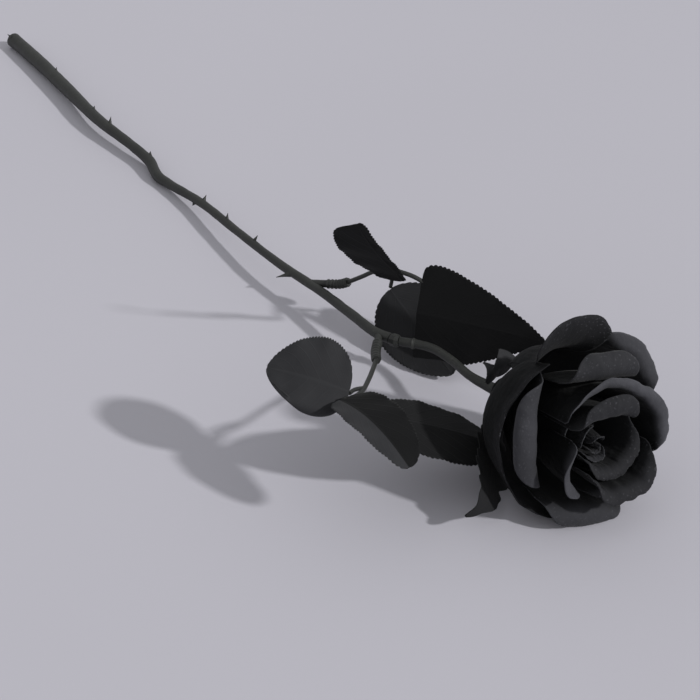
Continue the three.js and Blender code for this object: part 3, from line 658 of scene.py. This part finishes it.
def leafTree():
    leaf = leafShape
    tree, given = newTree("leaf", ("Length", "Phase", *leafInputs))
    sheet, across, way = makeGrid(tree, leaf["columns"], leaf["rows"])
    v = way.math("MAXIMUM", 0.0001).math("MINIMUM", 0.9999)  # keeps the powers finite
    widest = given["Widest"]
    footPart = (v / widest) ** (widest * given["Foot Full"])
    bulge = footPart * ((1 - v) / (1 - widest)) ** ((1 - widest) * given["Tip Full"])
    half = (leaf["foot"] + given["Width"] * bulge) * 0.5
    side = across.math("ABSOLUTE")
    rim = fade(side, *leaf["toothZone"])
    saw = 1 - ((v * leaf["teeth"]).math("FRACT") * 2 - 1).math("ABSOLUTE") ** 2
    share = 1 + (given["Slim"] - 1) * across.math("GREATER_THAN", 0)
    offset = across * half * share + across.math("SIGN") * (saw - 0.5) * leaf["toothDepth"] * rim
    fold = offset.math("SIGN") * given["Fold"] * radian * smooth(side * leaf["foldSharpness"])
    turn = given["Twist"] * radian * (v - 0.5) + fold
    broad = sine(v * leaf["broadPuffs"] + across * leaf["broadTilt"] + given["Phase"])
    fine = sine(v * leaf["finePuffs"] + given["Phase"] * 3)
    puff = broad * leaf["broadHeight"] * side + fine * leaf["fineHeight"] * rim
    near = fade(across, *leaf["nearZone"])
    droopLength = smooth((leaf["droopEnd"] - v) * leaf["droopFade"])
    droop = given["Droop"] * near * smooth(v * leaf["droopStart"]) * droopLength
    sag = 4 * given["Sag"] * v * (1 - v)
    rise = sag + given["Curl"] * (v * 2 - 1).math("MAXIMUM", 0) ** 2 + puff - droop
    tuck = 1 - leaf["tuck"] * near * (given["Droop"] / leaf["tuckDroop"])
    y, z = offset * cosine(turn) * tuck, offset * sine(turn) + rise
    closeTree(tree, given, moveTo(tree, sheet, given["Length"] * v, y, z))
    return tree


# The name in a leaflet's dictionary for an input of the tree.
def camelCase(label):
    return label[0].lower() + label[1:].replace(" ", "")


leafPlan = leafTree()
for order, (name, leaf) in enumerate(leaflets.items()):
    base, tip, edge = (Vector(leaf[key]) for key in ("base", "tip", "edge"))
    along = (tip - base).normalized()
    normal = along.cross(edge - base).normalized()
    side = normal.cross(along)
    turn = Matrix((along, side, normal)).transposed().to_4x4()
    turn.translation = centre + base * mm
    values = {label: float(leaf[camelCase(label)]) for label in leafInputs}
    cloth = makeLeafCloth(name + "Cloth", *leaf["tone"]) if "tone" in leaf else leafCloth
    values |= {"Length": (tip - base).length, "Phase": float(order), "Material": cloth}
    piece = bake(name, emptyCarrier(), leafPlan, values, leafShape["thickness"], turn)
    fit(piece, "leaf_cloth", snakeCase(name))
print("leaves made")


# A bar along each line of the carrier, as thick as its points say, with small lumps on its skin.
def barTree():
    tree, given = newTree("bar", ("Rough", "Rough Scale"), ("Sides",))
    circle = {"Resolution": given["Sides"], "Radius": 1}
    ring = nodeValue(tree, "GeometryNodeCurvePrimitiveCircle", None, circle)
    sweep = {"Curve": given["Geometry"], "Profile Curve": ring,
             "Scale": nodeValue(tree, "GeometryNodeInputRadius"), "Fill Caps": True}
    skin = nodeValue(tree, "GeometryNodeCurveToMesh", None, sweep)
    lumps = nodeValue(tree, "ShaderNodeTexNoise", None, {"Scale": given["Rough Scale"], "Detail": 3})
    shift = (lumps - 0.5) * given["Rough"] * mm
    normal = nodeValue(tree, "GeometryNodeInputNormal")
    push = nodeValue(tree, "ShaderNodeVectorMath", {"operation": "SCALE"}, {0: normal, "Scale": shift})
    moved = nodeValue(tree, "GeometryNodeSetPosition", None, {"Geometry": skin, "Offset": push})
    closeTree(tree, given, moved)
    return tree


# Smooth line through the stations, with as many steps in each span, as points with a radius.
def smoothLine(stations, steps):
    points = [Vector(place) for place, radius in stations]
    points = [points[0] * 2 - points[1], *points, points[-1] * 2 - points[-2]]
    line = []
    for i in range(1, len(points) - 2):
        p0, p1, p2, p3 = points[i - 1:i + 3]
        # The spans are never taken as zero.
        t0, t1, t2 = (max(1e-4, (b - a).length ** 0.5) for a, b in ((p0, p1), (p1, p2), (p2, p3)))
        m1 = ((p1 - p0) / t0 - (p2 - p0) / (t0 + t1) + (p2 - p1) / t1) * t1
        m2 = ((p2 - p1) / t1 - (p3 - p1) / (t1 + t2) + (p3 - p2) / t2) * t1
        r1, r2 = stations[i - 1][1], stations[i][1]
        last = i == len(points) - 3
        for k in range(steps + last):
            s = k / steps
            start = p1 * (2 * s ** 3 - 3 * s ** 2 + 1) + m1 * (s ** 3 - 2 * s ** 2 + s)
            place = start + p2 * (3 * s ** 2 - 2 * s ** 3) + m2 * (s ** 3 - s ** 2)
            line.append((place, r1 + (r2 - r1) * s))
    return line


# The same for places that share one radius.
def evenLine(places, radius, steps):
    return smoothLine([(place, radius) for place in places], steps)


def lineCarrier(lines):
    curve = bpy.data.curves.new("carrier", "CURVE")
    curve.dimensions = "3D"
    for line in lines:
        spline = curve.splines.new("POLY")
        spline.points.add(len(line) - 1)
        for point, (place, radius) in zip(spline.points, line):
            point.co = (*(place * mm), 1)
            point.radius = radius * mm
    carrier = bpy.data.objects.new("carrier", curve)
    bpy.context.scene.collection.objects.link(carrier)
    return carrier


# Places along the middle of the stem and of the flower's own neck, each with its radius.
stemStations = [
    (cutPlace, 4.1), ((-347, 10, 3.9), 3.9), ((-318, 8.9, 4.5), 3.85), ((-277, 6, 5.4), 3.5),
    ((-237, 2.8, 6.8), 2.9), ((-207, 4.5, 6.2), 2.5), ((-189, 5.3, 4.6), 2.8), ((-176, 2.6, 3.1), 2.7),
    ((-165, 3.2, 3.5), 2.35), ((-137, 4.7, 6.3), 2.1), ((-98, 3.1, 9.3), 1.95), ((-61, 2.3, 11.8), 2),
    ((-30, 4.2, 13.2), 2.1), ((-7, 4.6, 14), 2.2), ((13, 4.9, 14.7), 2.3), ((20.6, 7.2, 15.1), 2.4),
]
neckStations = [
    ((25.2, 8.9, 15.6), 2), ((29.4, 11.6, 16.1), 2), ((30.4, 12.2, 16.2), 2.5), ((31.4, 12.8, 16.4), 1.95),
    ((39, 16, 17.2), 1.9), ((51, 16.8, 18), 1.85), ((67, 15.2, 19.6), 1.9), ((82.5, 16.5, 21.3), 2.5),
]
stalks = {
    "upperLeafStalk": {
        "stub": [(-38.5, 3.8, 12.9), (-30.4, 8.2, 15.3)],
        "sleeve": [(-24.6, 11.3, 17.2), (-20.4, 13, 20)],
        "stalk": [(-13, 15.4, 26), (-7, 17.4, 31), (1.9, 19.6, 36), (8.5, 20.4, 38), (13, 23.5, 37.2),
                  (17.5, 26.5, 35), (23, 28, 31), (24.6, 26, 25.6)],
        "branches": [[(3.4, 19.8, 36.5), (0.5, 21.8, 29.5), (-2, 22.8, 23.8)],
                     [(5.2, 20, 37.4), (10, 18.6, 38.6), (14.2, 17.4, 39)]]},
    "lowerLeafStalk": {
        "stub": [(14.5, 5.4, 14.6), (20, 0.8, 15.4)],
        "sleeve": [(27.2, -5.2, 17), (36, -11, 20)],
        "stalk": [(58, -30, 31), (70, -41.5, 37), (75.5, -49, 40.6), (78.7, -56.1, 44)],
        "branches": [[(67, -38.6, 35.6), (70, -45, 39.2), (73.4, -49.8, 41.5)],
                     [(73, -45.4, 39), (80, -52.4, 40.2), (86.8, -53.2, 41)]]},
}
barShape = {
    "stub": 1.7, "sleeve": 2, "stalk": 1.0, "branch": 0.85, "ribs": 0.22, "ribTurn": 0.9, "sleeveGap": 0.3,
    "stemSteps": 24, "stubSteps": 8, "neckSteps": 16, "sleeveSteps": 24, "stalkSteps": 12,
}
barPlan = barTree()


def makeBar(name, lines, rough, roughScale, sides):
    values = {"Sides": sides, "Rough": rough, "Rough Scale": roughScale, "Material": stemPlastic}
    return bake(name, lineCarrier(lines), barPlan, values)


# Thorns: place along the stem, way out of it, height, radius at the foot.
thorns = [
    (-300, (-0.3, 0.55, 0.8), 1.6, 1.7),
    (-246, (-0.2, 0.5, 0.85), 1.5, 1.4),
    (-228, (-0.35, 0.45, 0.8), 3.4, 1.3),
    (-190, (-0.5, 0.5, 0.7), 2.2, 1.8),
    (-141, (0, -0.6, -0.6), 1.3, 1.5),
    (-135, (-0.1, 0.6, 0.8), 2.6, 1.3),
    (-112, (-0.1, 0.3, 0.9), 2.6, 1),
    (-86, (0.3, 0.4, 0.85), 3, 1),
    (-50, (-0.5, -0.8, -0.25), 6, 1.5),
]
burrs = [(2.6, -1.2, 3.6, 1.3), (-1.5, 2.4, 4.2, 1.4)]  # place across the cut and up it, length, radius
spikeShape = {"shares": (0, 0.2, 0.4, 0.6, 0.8, 1), "taper": 1.3, "tip": 0.12, "start": 0.6, "burrRoot": 2}


def spike(start, out, height, radius):
    line = []
    for share in spikeShape["shares"]:
        thick = radius * (1 - share) ** spikeShape["taper"] + spikeShape["tip"]
        line.append((start + out * (height * share), thick))
    return line


# A thorn starts inside the stem, at a share of its radius, and a burr starts inside the cut end.
def makeSpikes(stemLine):
    spikes = []
    for x, out, height, radius in thorns:
        place, thick = min(stemLine, key=lambda station: abs(station[0].x - x))
        out = Vector(out).normalized()
        start = place + out * (thick * spikeShape["start"])
        spikes.append(spike(start, out, height + thick * (1 - spikeShape["start"]), radius))
    root = spikeShape["burrRoot"]
    for across, up, length, radius in burrs:
        start = Vector(cutPlace) + Vector((root, across, up))
        spikes.append(spike(start, Vector((-1, 0, 0)), length + root, radius))
    return spikes


def makeStem():
    stemLine = smoothLine(stemStations, barShape["stemSteps"])
    stubs = [evenLine(spec["stub"], barShape["stub"], barShape["stubSteps"]) for spec in stalks.values()]
    lines = [stemLine, *stubs, *makeSpikes(stemLine)]
    return makeBar("mainStem", lines, rough=0.45, roughScale=130, sides=32)


def makeNeck():
    line = smoothLine(neckStations, barShape["neckSteps"])
    return makeBar("neck", [line], rough=0.15, roughScale=200, sides=32)


# A ribbed sleeve just off the stem's stub, the stalk, and its two branches.
def makeStalk(name, spec):
    start = Vector(spec["stub"][1])
    start = start + (Vector(spec["sleeve"][0]) - start).normalized() * barShape["sleeveGap"]
    smoothSleeve = evenLine((start, *spec["sleeve"]), barShape["sleeve"], barShape["sleeveSteps"])
    sleeve = []
    for i, (place, radius) in enumerate(smoothSleeve):
        sleeve.append((place, radius + barShape["ribs"] * math.sin(i * barShape["ribTurn"])))
    main = evenLine((spec["sleeve"][1], *spec["stalk"]), barShape["stalk"], barShape["stalkSteps"])
    forks = [evenLine(branch, barShape["branch"], barShape["stalkSteps"]) for branch in spec["branches"]]
    return makeBar(name, [sleeve, main, *forks], rough=0.12, roughScale=300, sides=20)


fit(makeStem(), "stem_plastic", "main_stem")
fit(makeNeck(), "stem_plastic", "neck")
for name, spec in stalks.items():
    fit(makeStalk(name, spec), "stem_plastic", snakeCase(name))
print("stem and stalks made")

# The joint bead and the core of the bud stay as the CAD has them, with new materials; the core's darker
# cloth is painted shade.
for node, material in (("joint_bead", stemPlastic), ("bud_core", petalShaded)):
    materials = frame["nodes"][node].data.materials
    materials.clear()
    materials.append(material)


stageLook = {
    "table": (0.56, 0.547, 0.60), "tableSpread": 0.04, "tableClouds": 2.5, "tableRoughness": 0.75,
    "tableSpecular": 0.2, "tableHalf": 4, "world": (0.97, 0.98, 1), "worldLevel": 0.5,
    "sunLevel": 2.1, "sunAngle": 3, "sunFrom": (0.733, 0.414, 0.538),
}


def makeTable():
    look = stageLook
    material, tree, shader = newFinish("tableTop", look["tableRoughness"], look["tableSpecular"])
    cloud = noise(tree, objectPlace(tree), look["tableClouds"], detail=2)
    dim = [c * (1 - look["tableSpread"]) for c in look["table"]]
    bright = [c * (1 + look["tableSpread"]) for c in look["table"]]
    colour = mixColour(tree, cloud, dim, bright)
    tree.links.new(colour.socket, shader.inputs["Base Color"])
    half = look["tableHalf"]
    corners = [(-half, -half, 0), (half, -half, 0), (half, half, 0), (-half, half, 0)]
    mesh = bpy.data.meshes.new("tableTop")
    mesh.from_pydata(corners, [], [(0, 1, 2, 3)])
    mesh.materials.append(material)
    table = bpy.data.objects.new("tableTop", mesh)
    bpy.context.scene.collection.objects.link(table)


def makeLight():
    world = bpy.data.worlds.new("studio")
    bpy.context.scene.world = world
    world.use_nodes = True
    back = world.node_tree.nodes["Background"]
    back.inputs["Color"].default_value = (*stageLook["world"], 1)
    back.inputs["Strength"].default_value = stageLook["worldLevel"]
    sun = bpy.data.lights.new("window", "SUN")
    sun.energy = stageLook["sunLevel"]
    sun.angle = math.radians(stageLook["sunAngle"])
    lamp = bpy.data.objects.new("window", sun)
    lamp.rotation_euler = Vector(stageLook["sunFrom"]).to_track_quat("Z", "Y").to_euler()
    bpy.context.scene.collection.objects.link(lamp)


# Angles in degrees and the distance in metres. The focal length is in pixels of a picture this wide.
cameraView = {"azimuth": 56, "elevation": 35, "distance": 0.860, "focal": 1955, "picture": 700, "sensor": 36}


def makeCamera():
    camera = bpy.data.cameras.new("camera")
    camera.sensor_width = cameraView["sensor"]
    camera.lens = cameraView["sensor"] * cameraView["focal"] / cameraView["picture"]
    eye = bpy.data.objects.new("camera", camera)
    turn, rise = math.radians(cameraView["azimuth"]), math.radians(cameraView["elevation"])
    out = Vector((math.sin(turn) * math.cos(rise), -math.cos(turn) * math.cos(rise), math.sin(rise)))
    eye.location = centre + out * cameraView["distance"]
    eye.rotation_euler = out.to_track_quat("Z", "Y").to_euler()
    bpy.context.scene.collection.objects.link(eye)
    bpy.context.scene.camera = eye


makeTable()
makeLight()
makeCamera()
bpy.context.scene.view_settings.view_transform = "Standard"
print("table, light and camera made")
